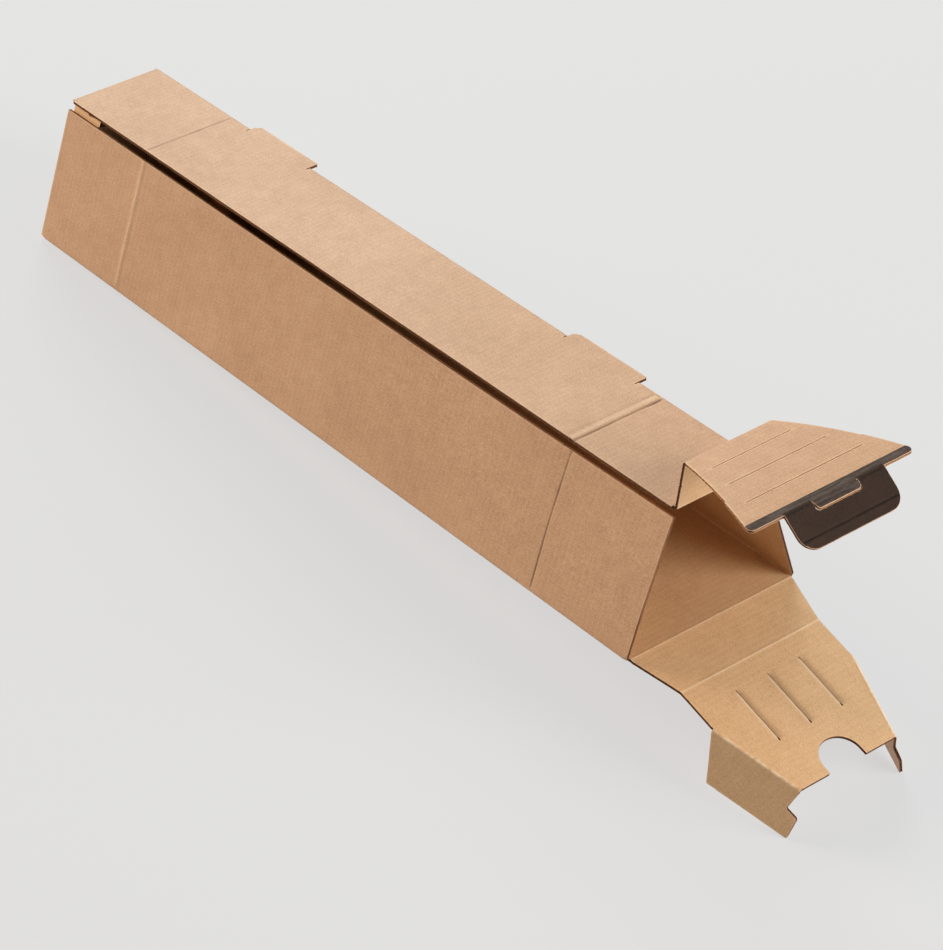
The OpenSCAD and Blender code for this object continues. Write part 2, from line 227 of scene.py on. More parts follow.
class Bend:
    """The hollow side of folded board seen from its edge, measured along the middle of the board."""

    def __init__(self, start, heading, side, moves):
        self.side = side
        place, angle, run = np.array(start, float), heading, 0.0
        marks = [(run, *place, angle)]
        self.turns = []
        for length, turn, radius in moves:
            place = place + length * toward(angle)
            run += length
            marks.append((run, *place, angle))
            if turn:
                centre = place + side * radius * leftward(angle)
                steps = max(8, math.ceil(math.degrees(turn) / 9))
                first = run
                for k in range(1, steps + 1):
                    now = angle + side * turn * k / steps
                    place = centre - side * radius * leftward(now)
                    marks.append((run + (radius + BOARD / 2) * turn * k / steps, *place, now))
                run, angle = marks[-1][0], now
                self.turns.append((first, run))
        self.marks = np.array([m for i, m in enumerate(marks) if i == 0 or m[0] > marks[i - 1][0] + 1e-9])
        self.ticks = self.marks[:, 0]
        self.length = run

    def drawn_out(self, axis, step, scale=1):
        """Draws flat points out along one axis, so that rows in the board's turns lie a step apart."""
        rows = np.cumsum(np.append(0, np.maximum(np.diff(self.ticks), step)))

        def drawn(points):
            points = points.copy()
            points[:, axis] = np.interp(points[:, axis], self.ticks, rows) * scale
            return points

        return drawn

    def at(self, s, depth):
        """Points at a length along the board, that depth in from its hollow side."""
        x, y, angle = (np.interp(s, self.ticks, self.marks[:, k]) for k in (1, 2, 3))
        return x + self.side * np.sin(angle) * depth, y - self.side * np.cos(angle) * depth


def fold_moves(turn):
    """The moves of a fold: a short lead, a tight turn and another lead."""
    lead = LEAD - CREASE_RADIUS * math.tan(turn / 2)
    return [(lead, turn, CREASE_RADIUS), (lead, 0, 0)]


# Outlines


def rounded(corners, steps=7):
    """A closed outline from corners that are each (along, across, radius)."""
    points = []
    for i, (a, b, radius) in enumerate(corners):
        here = np.array((a, b), float)
        if not radius:
            points.append(here)
            continue
        arms = [np.array(corners[k % len(corners)][:2]) - here for k in (i - 1, i + 1)]
        arms = [arm / np.linalg.norm(arm) for arm in arms]
        half = math.acos(arms[0] @ arms[1]) / 2
        centre = here + (arms[0] + arms[1]) / np.linalg.norm(arms[0] + arms[1]) * radius / math.sin(half)
        first, last = (here + arm * radius / math.tan(half) - centre for arm in arms)
        begin = math.atan2(first[1], first[0])
        turn = (math.atan2(last[1], last[0]) - begin + 3 * math.pi) % (2 * math.pi) - math.pi
        for k in range(steps + 1):
            angle = begin + turn * k / steps
            points.append(centre + radius * toward(angle))
    return np.array(points)


def both_sides(corners):
    """Corners and their mirror image across the middle line."""
    return corners + [(a, -b, *rest) for a, b, *rest in reversed(corners)]


def pointed(side, b):
    """A slit along a line at b across, from one of its sides as pairs of place and half width."""
    return np.array([(a, b + half) for a, half in side] + [(a, b - half) for a, half in side[-2:0:-1]])


def without_repeats(ring):
    ring = np.asarray(ring, float)
    return ring[np.linalg.norm(ring - np.roll(ring, 1, 0), axis=1) > 1e-6]


def turned_to(ring, left):
    """The ring run so that what it goes round lies on its left, or else on its right."""
    nxt = np.roll(ring, -1, 0)
    area = np.sum(ring[:, 0] * nxt[:, 1] - nxt[:, 0] * ring[:, 1])
    return ring if (area > 0) == left else ring[::-1]


def stepped(ring, step):
    """The ring with no edge longer than a step."""
    points = []
    for a, b in zip(ring, np.roll(ring, -1, 0)):
        count = max(1, math.ceil(np.linalg.norm(b - a) / step))
        points.extend(a + (b - a) * k / count for k in range(count))
    return np.array(points)


def to_left(edge):
    """The directions to the left of edges, one unit long."""
    edge = edge / np.linalg.norm(edge, axis=1, keepdims=True)
    return np.stack([-edge[:, 1], edge[:, 0]], 1)


def inset(ring, depth):
    """The ring moved into the board, with one depth for each edge."""
    inward = to_left(np.roll(ring, -1, 0) - ring)
    before, depth_before = np.roll(inward, 1, 0), np.roll(depth, 1)
    cross = before[:, 0] * inward[:, 1] - before[:, 1] * inward[:, 0]
    straight = np.abs(cross) < 0.12
    safe = np.where(straight, 1, cross)
    corner = np.stack([
        (depth_before * inward[:, 1] - depth * before[:, 1]) / safe,
        (depth * before[:, 0] - depth_before * inward[:, 0]) / safe,
    ], 1)
    shallow = inward * np.minimum(depth, depth_before)[:, None]
    return ring + np.where(straight[:, None], shallow, corner)


def inside(points, rings):
    """Which points lie on the board and not in its holes."""
    hits = np.zeros(len(points), int)
    x, y = points[:, 0], points[:, 1]
    for ring in rings:
        for (ax, ay), (bx, by) in zip(ring, np.roll(ring, -1, 0)):
            if ay != by:
                hits += ((ay > y) != (by > y)) & (x < (bx - ax) * (y - ay) / (by - ay) + ax)
    return hits % 2 == 1


def grid(us, vs):
    """Every crossing of lines along and lines across."""
    return np.array([(u, v) for u in us for v in vs], float)


def spread(low, high, step):
    """Even places from low to high, about a step apart."""
    return np.linspace(low, high, max(2, round((high - low) / step) + 1))


def field(u_low, u_high, v_half, u_step=4, v_step=4):
    """A grid along a panel and to both sides of its middle line."""
    return grid(spread(u_low, u_high, u_step), spread(-v_half, v_half, v_step))


# Relief


def drift(u, v, size, seed):
    """A soft random value at each place, from -1 to 1, that varies over a size in millimetres."""
    return np.array([noise.noise(Vector((a / size, b / size, seed))) for a, b in zip(u, v)])


def ramp(distance, length):
    """0 up to the start, 1 from a length on and an even rise between them."""
    return np.clip(distance / length, 0, 1)


def bump_line(distance, width):
    return np.exp(-(distance / width) ** 2)


def pressed_lines(lines, distance):
    """The height of the ridges and grooves of a pressed line at a distance from it."""
    return sum(height * bump_line(distance - place, width) for height, place, width in lines)


def level(u, v):
    return 0 * u, 0 * v


# Boards


def never(mid):
    return np.zeros(len(mid), bool)


def joined_past(low, high=math.inf, axis=0):
    """Says which edges run on into another piece: those at low or below it, or at high or above it."""
    return lambda mid: (mid[:, axis] < low + TOUCH) | (mid[:, axis] > high - TOUCH)


def trimmed(ring, bound, wander, seed):
    """The ring with its free edges cut back by a hair, unevenly."""
    held = bound | np.roll(bound, 1)
    back = np.where(held, 0, wander)
    uneven = back * drift(*ring.T, 4.0, seed) + back
    return ring + to_left(np.roll(ring, -1, 0) - np.roll(ring, 1, 0)) * uneven[:, None]


def filled(rings, free, drawn):
    """Fills the board inside rings: its points, its triangles and the places of each ring's points."""
    tree = KDTree(sum(len(ring) for ring in rings))
    for i, p in enumerate(np.concatenate(rings)):
        tree.insert((*p, 0), i)
    tree.balance()
    clear = np.array([tree.find((*p, 0))[2] for p in free]) > 0.25
    flat = np.concatenate([*rings, free[clear & inside(free, rings)]])
    ring_ids, edges, first = [], [], 0
    for ring in rings:
        ids = [first + k for k in range(len(ring))]
        edges.extend(zip(ids, ids[1:] + ids[:1]))
        ring_ids.append(ids)
        first += len(ring)
    _, _, triangles, source, _, _ = delaunay_2d_cdt([Vector(p) for p in drawn(flat)], edges, [], 0, 1e-6)
    points = flat[[olds[0] for olds in source]]
    lookup = {old: new for new, olds in enumerate(source) for old in olds}
    triangles = np.array([t for t in triangles if len(t) == 3])
    triangles = triangles[inside(points[triangles].mean(1), rings)]
    return points, triangles, [np.array([lookup[k] for k in ids]) for ids in ring_ids]


def as_object(name, solid, polygons, finish, values):
    """A smooth object from points in millimetres, a finish for each polygon and values for each point."""
    mesh = bpy.data.meshes.new(name)
    mesh.from_pydata((solid / 1000).tolist(), [], [[int(i) for i in p] for p in polygons])
    mesh.polygons.foreach_set("material_index", finish)
    mesh.polygons.foreach_set("use_smooth", [True] * len(polygons))
    mesh.set_sharp_from_angle(angle=math.radians(30))
    for label, vectors in values.items():
        attribute = mesh.attributes.new(label, "FLOAT_VECTOR", "POINT")
        attribute.data.foreach_set("vector", vectors.astype(np.float32).ravel())
    made = bpy.data.objects.new(name, mesh)
    bpy.context.scene.collection.objects.link(made)
    return made


# Across a cut edge, from the outer face to the inner one: the depth of each row and its height
CUT_PROFILE = (
    (0, BOARD - CHAMFER),
    (0, BOARD - LINER),
    (CUT_HOLLOW, BOARD - LINER - LINER_FRAY),
    (CUT_HOLLOW, LINER + LINER_FRAY),
    (0, LINER),
    (0, CHAMFER),
)


def make_board(name, rings, place, sheet, lattice, joined=never, relief=level, wander=EDGE_WANDER,
               step=2.5, seed=0.0, drawn=np.copy, rim=WORN_RIM):
    """A piece of board: both faces filled inside the rings, with hollow cut edges between them.

    place(u, v, w) puts flat points into the part's frame, w running from the inner face to the outer one.
    sheet(u, v) is their place on the blank. joined(mid) says which edges run on into another piece.
    relief(u, v) gives the board's warp and the height of its tooling, the lines pressed into it.
    drawn(points) is where points lie while the faces are filled, and rim is how wide the worn rim is."""
    loose, bounds = [], []
    for i, ring in enumerate(rings):
        ring = stepped(turned_to(without_repeats(ring), i == 0), step)
        bounds.append(joined((ring + np.roll(ring, -1, 0)) / 2))
        loose.append(trimmed(ring, bounds[-1], wander, seed + i))
    faces = [inset(ring, np.where(bound, 0, CHAMFER)) for ring, bound in zip(loose, bounds)]
    rims = [inset(ring, np.where(bound, 0.3, rim)) for ring, bound in zip(loose, bounds) if rim]
    points, triangles, rim_ids = filled(faces, np.concatenate([lattice, *rims]), drawn)

    wear = np.zeros(len(points))
    for ids, bound in zip(rim_ids, bounds):
        wear[ids[~(bound & np.roll(bound, 1))]] = 1
    warp, tooling = relief(*points.T)
    spots = [np.column_stack([points, BOARD + warp + tooling]),
             np.column_stack([points, warp + 0.4 * tooling])]
    # Marks for the liners: wear on free rims, painted shade where tooling sinks a face, and painted
    # highlight, partly rub wear, where it raises one.
    marks = [np.column_stack([wear, ramp(-tooling, 0.35), ramp(tooling, 0.3)]),
             np.column_stack([wear, ramp(tooling, 0.35), ramp(-tooling, 0.5)])]
    count = len(points)
    polygons = [*triangles, *(triangles[:, ::-1] + count)]
    finish = [0] * len(triangles) + [1] * len(triangles)
    total = 2 * count
    for ring, bound, ids in zip(loose, bounds, rim_ids):
        size = len(ring)
        rows = [ids]
        for depth, height in CUT_PROFILE:
            line = inset(ring, np.where(bound, 0, depth))
            spots.append(np.column_stack([line, height + relief(*ring.T)[0]]))
            marks.append(np.tile((1.0, 0.0, 0.0), (size, 1)))
            rows.append(total + np.arange(size))
            total += size
        rows.append(ids + count)
        for upper, lower in zip(rows, rows[1:]):
            for k in np.flatnonzero(~bound):
                nxt = (k + 1) % size
                polygons.append((upper[nxt], upper[k], lower[k], lower[nxt]))
                finish.append(2)

    spots = np.concatenate(spots)
    solid = place(*spots.T)
    a, b, c = solid[triangles[0]]
    outward = a - solid[triangles[0][0] + count]
    if np.cross(b - a, c - a) @ outward < 0:
        polygons = [p[::-1] for p in polygons]
    blank = np.column_stack([*sheet(spots[:, 0], spots[:, 1]), spots[:, 2]])
    return as_object(name, solid, polygons, finish, {"sheet": blank, "marks": np.concatenate(marks)})


# Materials


class Wire:
    """A value on its way through a material; its arithmetic adds the nodes that it needs."""

    def __init__(self, finish, socket):
        self.finish = finish
        self.socket = socket

    def maths(self, operation, *others):
        sockets = dict(enumerate((self, *others)))
        return self.finish.node("ShaderNodeMath", {"operation": operation}, sockets)

    def __add__(self, other):
        return self.maths("ADD", other)

    def __sub__(self, other):
        return self.maths("SUBTRACT", other)

    def __rsub__(self, other):
        return self.maths("MULTIPLY_ADD", -1.0, other)

    def __mul__(self, other):
        return self.maths("MULTIPLY", other)

    def __abs__(self):
        return self.maths("ABSOLUTE")

    __radd__, __rmul__ = __add__, __mul__

    def wave(self):
        return self.maths("SINE")

    def between(self, low, high):
        """0 below low, 1 above high and a soft step from one to the other."""
        return self.finish.node("ShaderNodeMapRange", {"interpolation_type": "SMOOTHSTEP"},
                                {"Value": self, "From Min": low, "From Max": high})


class Finish:
    """A material being made."""

    def __init__(self, name):
        self.material = bpy.data.materials.new(name)
        self.material.use_nodes = True
        self.tree = self.material.node_tree
        self.tree.nodes.clear()

    def node(self, kind, settings, sockets, result=0):
        made = self.tree.nodes.new(kind)
        for name, value in settings.items():
            setattr(made, name, value)
        for name, value in sockets.items():
            if isinstance(value, Wire):
                self.tree.links.new(value.socket, made.inputs[name])
            else:
                made.inputs[name].default_value = value
        return Wire(self, made.outputs[result]) if made.outputs else None

    def spots(self, label):
        return self.node("ShaderNodeAttribute", {"attribute_name": label}, {}, "Vector")

    def parts(self, vector):
        first = self.node("ShaderNodeSeparateXYZ", {}, {0: vector})
        return [Wire(self, socket) for socket in first.socket.node.outputs]

    def stretched(self, vector, factors):
        return self.node("ShaderNodeVectorMath", {"operation": "MULTIPLY"}, {0: vector, 1: factors})

    def cloud(self, vector, size, detail=3.0, roughness=0.55):
        """Soft noise round zero, about half a unit each way, over a size in millimetres."""
        return self.node("ShaderNodeTexNoise", {"noise_dimensions": "3D"}, {
            "Vector": vector, "Scale": 1 / size, "Detail": detail, "Roughness": roughness}) - 0.5

    def mix(self, factor, one, other):
        def colour(c):
            return c if isinstance(c, Wire) else (*c, 1.0)
        sockets = {0: factor, 6: colour(one), 7: colour(other)}
        return self.node("ShaderNodeMix", {"data_type": "RGBA"}, sockets, 2)

    def close(self, colour, roughness, height, specular, glow=0.0):
        normal = self.node("ShaderNodeBump", {}, {"Height": height, "Distance": 0.001, "Strength": 1.0})
        shader = self.node("ShaderNodeBsdfPrincipled", {}, {
            "Base Color": colour, "Roughness": roughness, "Normal": normal, "Specular IOR Level": specular,
            "Emission Color": (1, 1, 1, 1), "Emission Strength": glow})
        self.node("ShaderNodeOutputMaterial", {}, {"Surface": shader})
        return self.material


def tint(red, green, blue):
    """A colour given as screen values from 0 to 255."""
    return tuple(((c / 255 + 0.055) / 1.055) ** 2.4 if c > 10 else c / 3294.6 for c in (red, green, blue))


KRAFT_DEEP, KRAFT_PALE = tint(158, 116, 82), tint(202, 163, 128)
INNER_DEEP, INNER_PALE = tint(184, 140, 96), tint(226, 186, 140)
FLECK = tint(96, 62, 38)
RUBBED_PAPER = tint(228, 196, 158)
# Painted highlight, partly rub wear, for raised ridges.
RIDGE_HIGHLIGHT_AND_WEAR = tint(236, 208, 172)
# Painted shade for pressed grooves.
GROOVE_SHADE = tint(118, 80, 52)
INK_DEEP, INK_PALE = tint(42, 30, 22), tint(66, 49, 38)
INK_THIN = tint(112, 84, 62)
# Painted shade for grooves pressed into the print.
INK_GROOVE_SHADE = tint(22, 16, 13)
INK_RUBBED = tint(150, 118, 92)
INK_STREAK = tint(104, 92, 86)
FLOOR_DEEP, FLOOR_PALE = tint(94, 94, 94), tint(100, 100, 100)


def paper(finish, sheet, seed):
    """The weave of kraft paper: its cloudy tone, its flecks, its fibres and its relief."""
    shifted = finish.node("ShaderNodeVectorMath", {"operation": "ADD"}, {0: sheet, 1: (seed, 3 * seed, 0)})
    broad = finish.cloud(shifted, 70.0, 2.0)
    cloudy = finish.cloud(shifted, 8.0, 6.0, 0.62)
    grain = finish.cloud(shifted, 0.8, 2.0, 0.6)
    strand = finish.cloud(finish.stretched(shifted, (0.16, 1.0, 1.0)), 0.8, 2.0)
    hair_line = finish.cloud(finish.stretched(shifted, (0.7, 1.3, 1.0)), 4.0, 2.0, 0.5)
    hair_part = finish.cloud(shifted, 3.0, 1.0)
    hair = (1.0 - abs(hair_line).between(0.0, 0.012)) * hair_part.between(0.08, 0.16)
    cells = {"Vector": shifted, "Scale": 0.33, "Randomness": 1.0}
    from_cell, cell_colour = (finish.node("ShaderNodeTexVoronoi", {"feature": "F1"}, cells, result)
                              for result in ("Distance", "Color"))
    fleck = (1.0 - from_cell.between(0.05, 0.12)) * finish.parts(cell_colour)[0].between(0.72, 0.8)
    tone = 0.5 + 0.36 * broad + 0.36 * cloudy + 0.95 * grain + 0.30 * strand
    relief = 0.030 * cloudy + 0.026 * grain + 0.024 * strand + 0.02 * hair
    return tone, fleck, hair, relief


def bare_kraft(finish, sheet, seed, deep, pale):
    """Kraft paper with its flecks, and the washboard lines of the fluting under it."""
    tone, fleck, hair, relief = paper(finish, sheet, seed)
    washboard = (finish.parts(sheet)[0] * FLUTE_TURN).wave()
    colour = finish.mix((tone + 0.025 * washboard).between(0.0, 1.0), deep, pale)
    colour = finish.mix(fleck * 0.55, colour, FLECK)
    return colour, tone, hair, relief + 0.010 * washboard


def ink(finish, sheet, tone, shaded_groove):
    """Dark brown print over paper of that tone: its colour and its roughness."""
    thin = finish.cloud(sheet, 0.7, 3.0, 0.7)
    colour = finish.mix(tone.between(0.1, 0.9), INK_DEEP, INK_PALE)
    colour = finish.mix((thin + 0.3 * tone).between(0.30, 0.55) * 0.30, colour, INK_THIN)
    # Painted shade in the grooves pressed into the print.
    colour = finish.mix(shaded_groove * 0.7, colour, INK_GROOVE_SHADE)
    return colour, 0.72 + 0.15 * tone


def liner(name, deep, pale, seed, ridge_highlight_and_wear):
    """Bare kraft paper on one side of the board."""
    finish = Finish(name)
    wear, shaded_groove, raised_highlight = finish.parts(finish.spots("marks"))
    colour, tone, hair, relief = bare_kraft(finish, finish.spots("sheet"), seed, deep, pale)
    colour = finish.mix(hair * 0.25, colour, pale)
    scuffed = wear * (0.6 + tone).between(0.6, 1.4)
    colour = finish.mix(scuffed * 0.35, colour, RUBBED_PAPER)
    # Painted highlight on raised ridges, partly rub wear.
    colour = finish.mix(raised_highlight * ridge_highlight_and_wear, colour, RIDGE_HIGHLIGHT_AND_WEAR)
    # Painted shade in pressed grooves.
    colour = finish.mix(shaded_groove * 0.55, colour, GROOVE_SHADE)
    return finish.close(colour, 0.66 - 0.12 * tone - 0.05 * shaded_groove, relief, 0.5)


def printed(name, seed):
    """Kraft paper with dark print all over."""
    finish = Finish(name)
    sheet = finish.spots("sheet")
    wear, shaded_groove, _ = finish.parts(finish.spots("marks"))
    tone, _, _, relief = paper(finish, sheet, seed)
    colour, roughness = ink(finish, sheet, tone, shaded_groove)
    rub = finish.cloud(sheet, 1.6, 3.0)
    colour = finish.mix((wear * (0.55 + rub)).between(0.35, 0.75) * 0.55, colour, INK_RUBBED)
    return finish.close(colour, roughness, relief, 0.15)


def strip_printed(name, seed, start):
    """Bare kraft paper that turns to dark print past a line across the blank."""
    finish = Finish(name)
    sheet = finish.spots("sheet")
    wear, shaded_groove, _ = finish.parts(finish.spots("marks"))
    bare, tone, _, relief = bare_kraft(finish, sheet, seed, KRAFT_DEEP, KRAFT_PALE)
    bare = finish.mix(wear * 0.30, bare, RUBBED_PAPER)
    dark, dark_rough = ink(finish, sheet, tone, shaded_groove)
    rub = finish.cloud(sheet, 1.6, 3.0)
    dark = finish.mix((wear * (0.55 + rub)).between(0.4, 0.8) * 0.5, dark, INK_RUBBED)
    streak = finish.cloud(finish.stretched(sheet, (1.0, 0.10, 1.0)), 1.1, 3.0, 0.6)
    dark = finish.mix((streak + 0.2 * rub).between(-0.12, 0.16) * 0.45, dark, INK_STREAK)
    ragged = finish.parts(sheet)[0] + 0.35 * finish.cloud(sheet, 0.9, 2.0)
    inked = ragged.between(start - 0.12, start + 0.12)
    roughness = (0.68 - 0.12 * tone) * (1.0 - inked) + (dark_rough + 0.1) * inked
    return finish.close(finish.mix(inked, bare, dark), roughness, relief, 0.42)


def cut_edge(name, paper_tone, medium, hollow_shade):
    """The cut edge of the board: two liners and the wave of the fluting between them, with painted shade
    in the hollows.
    """
    finish = Finish(name)
    sheet = finish.spots("sheet")
    along, _, height = finish.parts(sheet)
    fuzz = finish.cloud(sheet, 0.35, 3.0, 0.7)
    middle, core_half = BOARD / 2, BOARD / 2 - LINER
    crest = middle + core_half * (along * FLUTE_TURN + 1.5 * fuzz).wave()
    ribbon = 1.0 - abs(height - crest).between(0.10, 0.24)
    colour = finish.mix(ribbon, hollow_shade, medium)
    skin = abs(height - middle).between(core_half - 0.05, core_half + 0.07)
    colour = finish.mix(skin, colour, paper_tone)
    dirt = finish.cloud(sheet, 3.0, 3.0)
    colour = finish.mix((dirt + 0.3 * fuzz).between(0.0, 0.4) * 0.35, colour, hollow_shade)
    return finish.close(colour, 0.85 + 0.1 * fuzz, 0.12 * fuzz + 0.1 * ribbon, 0.2)


outer_liner = liner("outer liner", KRAFT_DEEP, KRAFT_PALE, 11.0, 0.25)
inner_liner = liner("inner liner", INNER_DEEP, INNER_PALE, 37.0, 0.8)
pale_edge = cut_edge("pale cut edge", tint(206, 166, 132), tint(172, 128, 92), tint(96, 64, 40))
# The same cut edge again, painted darker as shade; most pieces get it.
shade_painted_edge = cut_edge("dark cut edge", tint(142, 98, 68), tint(116, 74, 48), tint(72, 43, 26))
tongue_print = printed("brown print", 23.0)
tip_print = strip_printed("kraft with printed strip", 11.0, LENGTH + RISER + STRIP_FROM)
far_tip_print = strip_printed("far kraft with printed strip", 15.0, RISER + STRIP_FROM)


def dress(piece, outer=outer_liner, edge=shade_painted_edge, slot="kraft_board"):
    """Gives a piece the finishes of its outer face, its inner face and its cut edges."""
    for material in (outer, inner_liner, edge):
        piece.data.materials.append(material)
    return piece


# The sleeve

sleeve = in_seat(sloped(hinge["base_riser_hinge"], 0), (-LENGTH, 0, 0), (1, 0, 0), (0, 1, 0), (0, 0, 1))


def half_width(height, depth):
    """Half the section's width at a height, that depth inside its outer faces."""
    return BASE_WIDTH / 2 - height * math.tan(LEAN) - depth / math.cos(LEAN)


def girth():
    """The sleeve's inner face from the front panel's lip, by base and back, to the top's front edge."""
    inner_radius = FOLD_RADIUS - BOARD
    low_turn, high_turn = math.pi / 2 + LEAN, math.pi / 2 - LEAN
    low_cut, high_cut = inner_radius * math.tan(low_turn / 2), inner_radius * math.tan(high_turn / 2)
    lip = (SIDE - SLIT_GAP) * math.cos(LEAN) - BOARD * math.sin(LEAN)
    front = (lip - BOARD) / math.cos(LEAN)
    base = 2 * half_width(BOARD, BOARD)
    back = (HEIGHT - 2 * BOARD) / math.cos(LEAN)
    top = half_width(HEIGHT - BOARD, BOARD) + TOP_WIDTH / 2
    return Bend((-half_width(lip, BOARD), lip), -math.pi / 2 - LEAN, 1, [
        (front - low_cut, low_turn, inner_radius),
        (base - 2 * low_cut, low_turn, inner_radius),
        (back - low_cut - high_cut, high_turn, inner_radius),
        (top - high_cut, 0, 0),
    ])


section = girth()
(front_end, base_start), (base_end, back_start), (back_end, top_start) = section.turns
base_middle = (base_start + base_end) / 2
base_half = (base_end - base_start) / 2
base_low, base_high = base_middle - base_half, base_middle + base_half
front_fold, back_fold, top_fold = ((first + last) / 2 for first, last in section.turns)


def on_top(y):
    """Where a place across the top panel lies round the sleeve."""
    return section.length - (y + TOP_WIDTH / 2)


TOP_MIDDLE = on_top(0)
HINGE_BACK, HINGE_FRONT = on_top(HINGE_HALF_TOP), on_top(-HINGE_HALF_TOP)
TAB_ROOT = TOP_WIDTH / 2 - FOLD_RADIUS - TAB_SETBACK
TAB_TIP = TOP_WIDTH / 2 + TAB_REACH
TAB_MIDDLES = [LENGTH / 2 + end * TAB_SPREAD / 2 for end in (-1, 1)]
WINDOW_SILL = back_end - (TAB_REACH + TAB_KERF) + FOLD_RADIUS


def on_sleeve(u, v, w):
    y, z = section.at(v, w)
    return sleeve.at(u, y, z)


def sleeve_relief(u, v):
    """Pressed lines, the slow warp of the panels and the lean of the front panel's lip."""
    warp = 0.22 * drift(u, v, 60.0, 7.0) * (ramp(LENGTH - u, 25) * ramp(u, 25))
    for fold in (front_fold, back_fold, top_fold):
        warp = warp * (1 - bump_line(v - fold, 9.0))
    closing = ramp(u - LIP_LEAN_FROM, LENGTH - LIP_LEAN_FROM) ** 2
    warp = warp - LIP_LEAN * closing * ramp(front_end - v, front_end) ** 1.5
    near, far = u - (LENGTH - CREASE_INSET), u - CREASE_INSET
    dent = 1 + 1.3 * bump_line(v - on_top(23), 5.0)
    top = pressed_lines(TOP_NEAR_LINE, near) * dent + pressed_lines(TOP_FAR_LINE, far)
    bowed = 0.6 * np.sin(math.pi * ramp(v, front_end))
    front = pressed_lines(FRONT_NEAR_LINE, near + bowed) + pressed_lines(FRONT_FAR_LINE, far)
    uneven = 1 + 0.5 * drift(u, v, 9.0, 4.0)
    return warp, uneven * (ramp(v - top_start, 1.5) * top + ramp(front_end - v, 1.5) * front)


def nicked(start, end, places):
    """A straight edge with small torn bridges that stand out to its right at places along the sleeve."""
    start, end = np.array(start, float), np.array(end, float)
    along = (end - start) / np.linalg.norm(end - start)
    right = np.array([along[1], -along[0]])
    points = [start]
    for place in sorted(places, key=lambda p: p * along[0]):
        middle = start + along * abs(place - start[0])
        points.extend(middle + along * offset + right * out * NICK for offset, out in NICK_SHAPE)
    return [*points, end]


def sleeve_outline():
    """The sleeve's blank, cut back by a lead or by the hem where a flap's fold goes on."""
    return np.array([
        *nicked((0, 0), (LENGTH, 0), NICKS_LIP),
        (LENGTH, base_low), (LENGTH - LEAD, base_low), (LENGTH - LEAD, base_high), (LENGTH, base_high),
        (LENGTH, top_fold - CORNER_CUT), (LENGTH - FOLD_NOTCH, top_fold),
        (LENGTH, HINGE_BACK), (LENGTH - LEAD, HINGE_BACK), (LENGTH - LEAD, HINGE_FRONT),
        (LENGTH - NEAR_CORNER, HINGE_FRONT + NEAR_CORNER_STEP),
        *nicked((LENGTH - NEAR_CORNER, section.length), (CORNER_CUT, section.length), NICKS_TOP),
        (HEM_OUTER, HINGE_FRONT), (HEM_OUTER, HINGE_BACK), (0, HINGE_BACK),
        (FOLD_NOTCH, top_fold), (0, top_fold - CORNER_CUT),
        (0, base_high), (HEM_OUTER, base_high), (HEM_OUTER, base_low), (0, base_low),
    ])


def window_ring(middle):
    """The opening that a lock tab leaves in the back panel and round its own root."""
    half, root = TAB_LENGTH / 2, on_top(TAB_ROOT)
    wide = half + TAB_KERF
    return np.array([
        (middle - wide, WINDOW_SILL), (middle + wide, WINDOW_SILL), (middle + wide, root),
        (middle + half, root), (middle - half, root), (middle - wide, root),
    ])


def sleeve_joined(mid):
    u, v = mid[:, 0], mid[:, 1]
    at_base = np.abs(v - base_middle) < base_half + TOUCH
    at_top = (v > HINGE_BACK - TOUCH) & (v < HINGE_FRONT + TOUCH)
    near = (u > LENGTH - LEAD - TOUCH) & (u < LENGTH - TOUCH)
    far = (u > TOUCH) & (u < HEM_OUTER + TOUCH)
    joined = (near | far) & (at_base | at_top)
    for middle in TAB_MIDDLES:
        joined |= (np.abs(u - middle) < TAB_LENGTH / 2) & (np.abs(v - on_top(TAB_ROOT)) < TOUCH)
    return joined


def sleeve_lattice():
    """Lines along the sleeve and round it, close together at the pressed lines and in the folds."""
    far_lines = [CREASE_INSET + d for d in (-4, -2, -1.2, -0.8, -0.4, 0, 0.4, 0.8, 1.2, 2, 3, 4)]
    near_lines = [LENGTH - CREASE_INSET + d for d in np.arange(-6, 6.1, 0.4)]
    along = np.unique(np.round(np.concatenate([spread(3, LENGTH - 3, 5.0), far_lines, near_lines]), 3))
    along = along[np.append(True, np.diff(along) > 0.25)]
    panels = ((0, front_end), (base_start, base_end), (back_start, back_end), (top_start, section.length))
    across = [section.ticks, *(spread(low + 1.2, high - 1.2, 5.0) for low, high in panels)]
    return grid(along, np.unique(np.round(np.concatenate(across), 4)))


sleeve_board = make_board(
    "sleeve", [sleeve_outline(), *map(window_ring, TAB_MIDDLES)], on_sleeve, lambda u, v: (u, v),
    sleeve_lattice(), sleeve_joined, sleeve_relief, seed=1.0, drawn=section.drawn_out(1, 4.0))
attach(dress(sleeve_board), "sleeve")
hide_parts("sleeve")


def make_lock_tab(name, middle, seed):
    low, high = middle - TAB_LENGTH / 2, middle + TAB_LENGTH / 2
    outline = [
        (low, TAB_ROOT), (high, TAB_ROOT), (high, TAB_TIP - TAB_CORNER), (high - TAB_CORNER, TAB_TIP),
        (low + TAB_BEVEL, TAB_TIP), (low, TAB_TIP - TAB_BEVEL),
    ]
    tab = make_board(
        name, [outline], flat_on(sleeve, HEIGHT - BOARD, 1), lambda u, v: (u, on_top(v)),
        grid(spread(low + 2, high - 2, 5), spread(TAB_ROOT + 1.5, TAB_TIP - 1.5, 3)),
        joined_past(TAB_ROOT, axis=1), seed=seed)
    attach(dress(tab), "sleeve")


for number, tab_middle in enumerate(TAB_MIDDLES):
    make_lock_tab(f"lock_tab_{number + 1}", tab_middle, 2.0 + number)


# Outlines that both ends share


def lid_half(along):
    return LID_ROOT_HALF + (LID_TIP_HALF - LID_STEP - LID_ROOT_HALF) * along / LID_WALL


